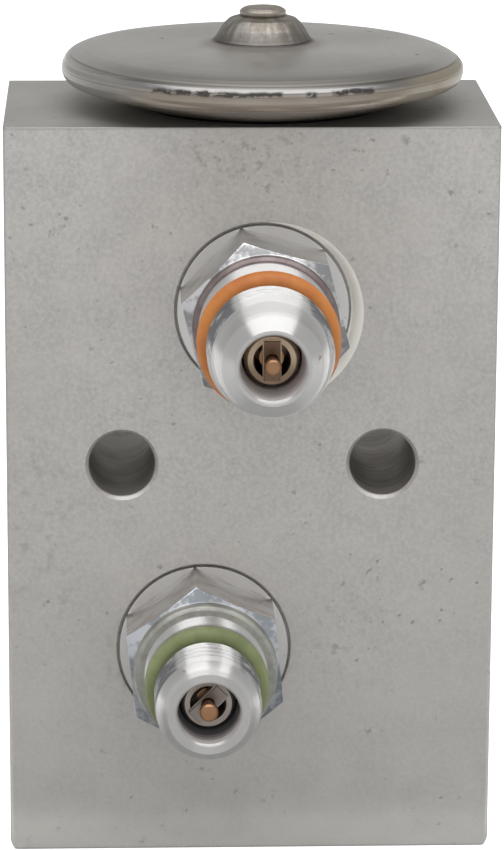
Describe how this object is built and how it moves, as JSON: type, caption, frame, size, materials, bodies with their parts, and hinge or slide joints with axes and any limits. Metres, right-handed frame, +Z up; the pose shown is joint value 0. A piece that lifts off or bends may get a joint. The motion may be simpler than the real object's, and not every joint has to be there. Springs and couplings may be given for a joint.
{
  "type": "block expansion valve",
  "caption": "Block-type thermal expansion valve: a machined aluminium block with a disc power head on top and two threaded service fittings on its front.",
  "frame": {"origin": "under the middle of the overall box, at the foot of the block", "axes": "+Z up the block towards the power head; -Y out of the face with the service fittings; +X towards the metered outlet"},
  "size_m": [0.0444, 0.0536, 0.077],
  "materials": {
    "block_aluminium": "machined satin, lightly scuffed",
    "head_steel": "dull pressed steel, brown from welding",
    "inner_steel": "clean stainless",
    "fitting_aluminium": "bright turned",
    "turned_brass": "turned",
    "pin_copper": "coppery, turned",
    "spring_steel": "drawn wire",
    "black_rubber": "matte",
    "white_sleeve": "smooth",
    "orange_rubber": "satin",
    "green_rubber": "satin"
  },
  "bodies": {
    "valve": {"valve_block": "block_aluminium", "head_upper_shell": "head_steel", "head_lower_shell": "head_steel", "diaphragm": "inner_steel", "charge_plug": "head_steel", "head_seal_ring": "black_rubber", "rod_seal_ring": "black_rubber", "rod_seal_retainer": "inner_steel", "superheat_spring": "spring_steel", "adjusting_plug": "turned_brass", "adjuster_seal_ring": "black_rubber", "low_side_fitting": "fitting_aluminium", "low_side_nose_ring": "orange_rubber", "low_side_port_seal": "black_rubber", "low_side_core_body": "turned_brass", "low_side_core_seal": "white_sleeve", "low_side_core_spring": "spring_steel", "high_side_fitting": "fitting_aluminium", "high_side_nose_ring": "green_rubber", "high_side_port_seal": "black_rubber", "high_side_core_body": "turned_brass", "high_side_core_seal": "white_sleeve", "high_side_core_spring": "spring_steel"},
    "valve_train": {"push_rod": "inner_steel", "pusher_plate": "inner_steel", "valve_ball": "inner_steel", "ball_carrier": "inner_steel"},
    "low_side_pin": {"low_side_core_pin": "pin_copper"},
    "high_side_pin": {"high_side_core_pin": "pin_copper"}
  },
  "joints": [
    {"name": "stem_travel", "type": "slide", "parent": "valve", "child": "valve_train", "axis": [0, 0, -1], "range_m": [0, 0.0008], "stiffness_N_per_m": 8000, "deforming": ["superheat_spring", "diaphragm"]},
    {"name": "low_side_pin_press", "type": "slide", "parent": "valve", "child": "low_side_pin", "axis": [0, 1, 0], "range_m": [0, 0.001], "stiffness_N_per_m": 900, "deforming": ["low_side_core_spring"]},
    {"name": "high_side_pin_press", "type": "slide", "parent": "valve", "child": "high_side_pin", "axis": [0, 1, 0], "range_m": [0, 0.001], "stiffness_N_per_m": 900, "deforming": ["high_side_core_spring"]}
  ]
}
